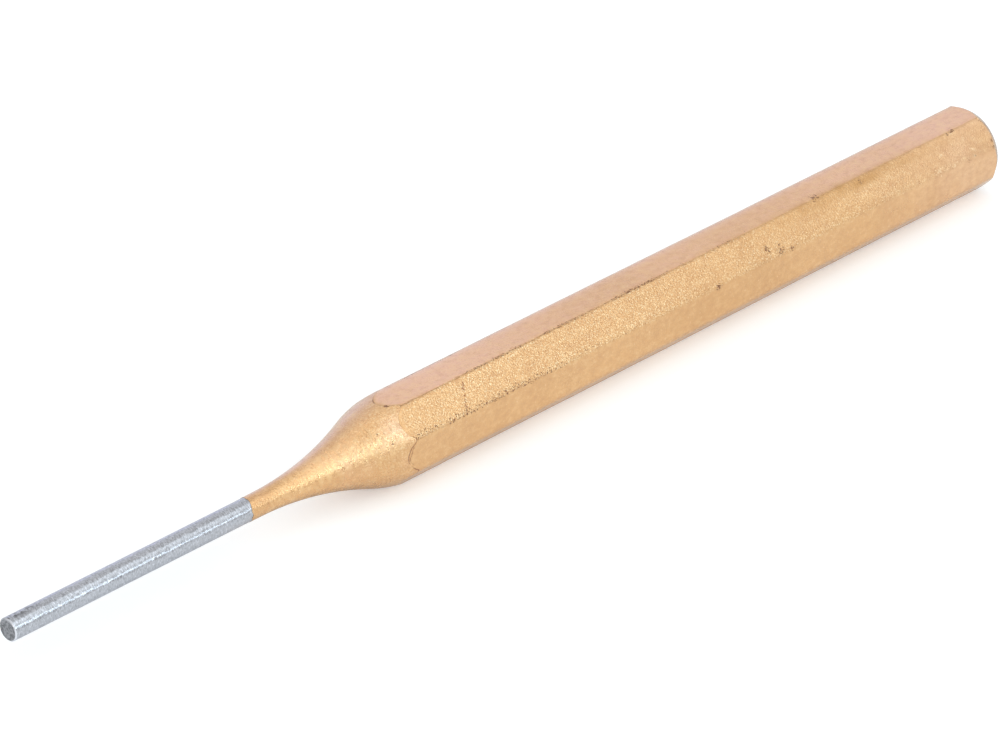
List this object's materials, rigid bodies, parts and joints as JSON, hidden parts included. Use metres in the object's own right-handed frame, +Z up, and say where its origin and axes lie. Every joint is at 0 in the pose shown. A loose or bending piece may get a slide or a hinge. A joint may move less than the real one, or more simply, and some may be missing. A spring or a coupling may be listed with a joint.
{
  "type": "pin punch",
  "caption": "Hand punch with a slim straight pin, a curved turned neck and a straight octagonal shank with a bevelled strike face, for driving pins out of their holes.",
  "frame": {"origin": "on the surface that the punch lies on, below the middle of its box", "axes": "+X along the axis of the punch, from the tip to the strike face; +Z up, square to the flat that it lies on"},
  "size_m": [0.15, 0.01, 0.01],
  "materials": {
    "ground_steel": "satin",
    "gold_lacquer": "satin"
  },
  "bodies": {
    "root": {"steel_forging": "ground_steel", "lacquer_coat": "gold_lacquer"}
  },
  "joints": []
}
